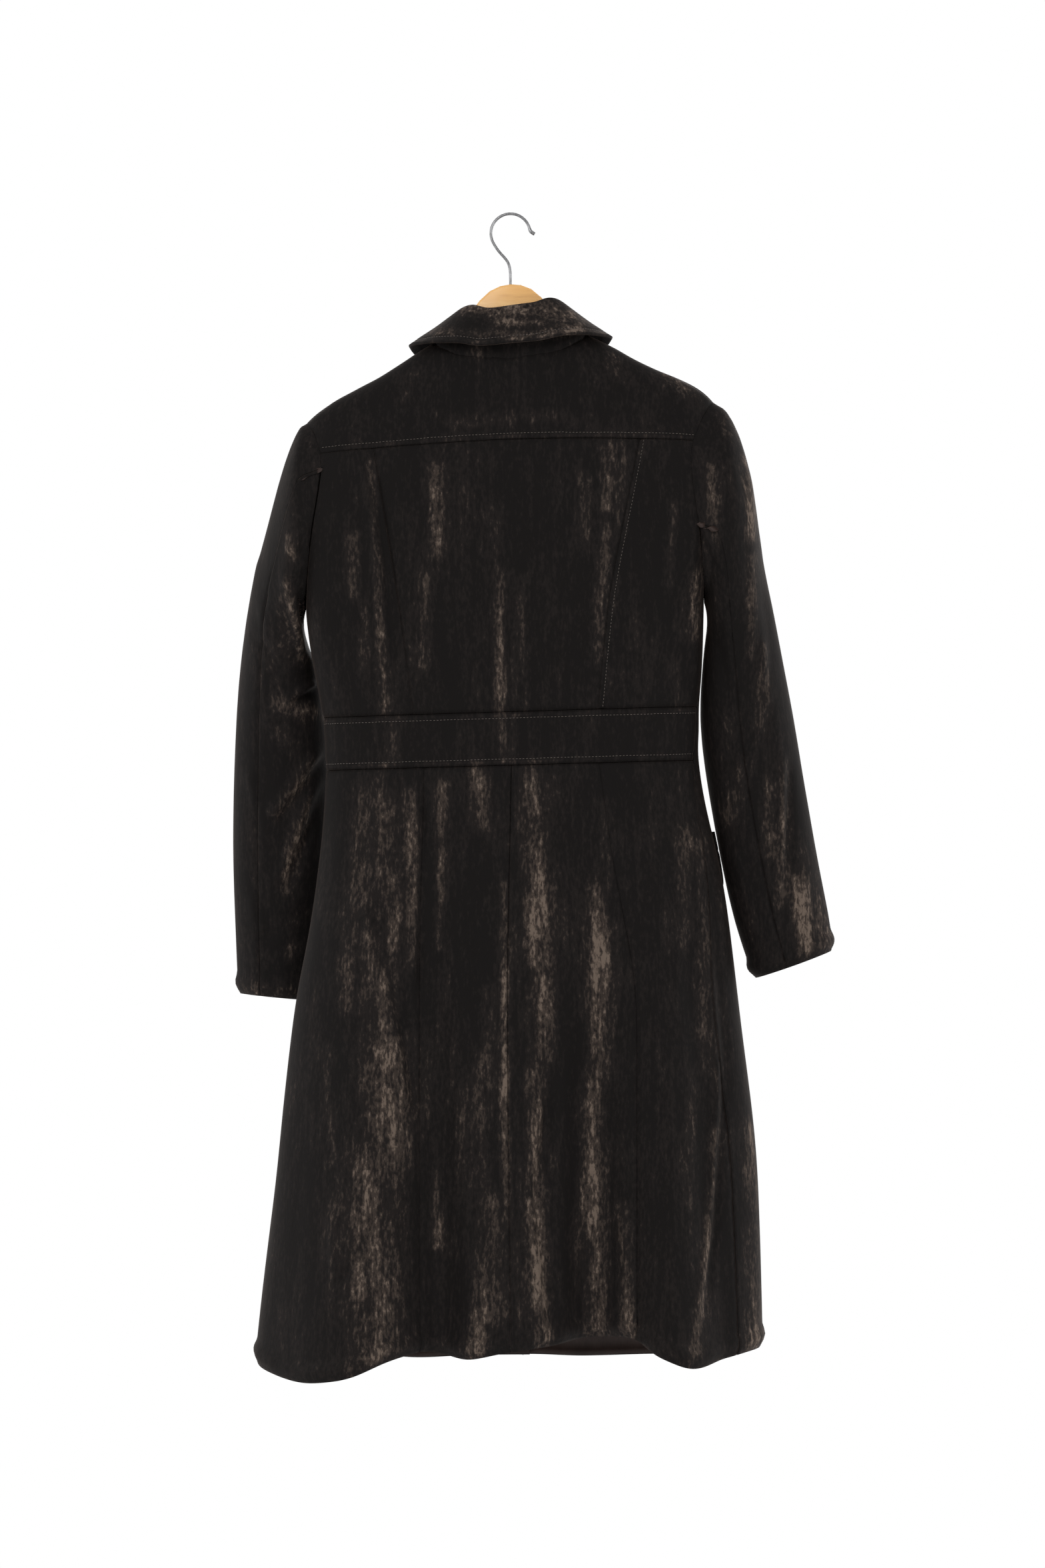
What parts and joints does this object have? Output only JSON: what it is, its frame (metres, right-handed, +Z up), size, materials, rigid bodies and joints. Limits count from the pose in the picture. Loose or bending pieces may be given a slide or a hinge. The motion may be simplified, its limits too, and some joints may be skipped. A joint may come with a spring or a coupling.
{
  "type": "long coat on a hanger",
  "caption": "Long velvet coat with a folded collar, back yoke, waistband and flared skirt, hung on a wooden hanger with a wire hook.",
  "frame": {"origin": "inside of the hook's crown, where a rail carries the hanger", "axes": "+Z up, -Y out of the coat's back (the side in the picture), +X to the right as the back is looked at"},
  "size_m": [0.6169, 0.2235, 1.1853],
  "materials": {
    "velvet": "very dark brown crushed velvet with a soft sheen",
    "lining_satin": "plain dark brown satin",
    "hanger_wood": "clear varnish on pale honey wood",
    "hook_steel": "bright steel wire"
  },
  "bodies": {
    "root": {"back_yoke": "velvet", "back_bodice_centre": "velvet", "back_bodice_side_left": "velvet", "back_bodice_side_right": "velvet", "back_waistband": "velvet", "back_skirt_side_left": "velvet", "back_skirt_centre_left": "velvet", "back_skirt_centre_right": "velvet", "back_skirt_side_right": "velvet", "front_left": "velvet", "front_right": "velvet", "collar_stand": "velvet", "collar_fall": "velvet", "pocket_flap_left": "velvet", "pocket_flap_right": "velvet", "sleeve_under_left": "velvet", "sleeve_upper_left": "velvet", "sleeve_under_right": "velvet", "sleeve_upper_right": "velvet", "button_1": "velvet", "button_2": "velvet", "button_3": "velvet", "button_4": "velvet", "button_5": "velvet", "front_lining_left": "lining_satin", "front_lining_right": "lining_satin", "hanger_body": "hanger_wood", "hanger_hook": "hook_steel"}
  },
  "joints": []
}
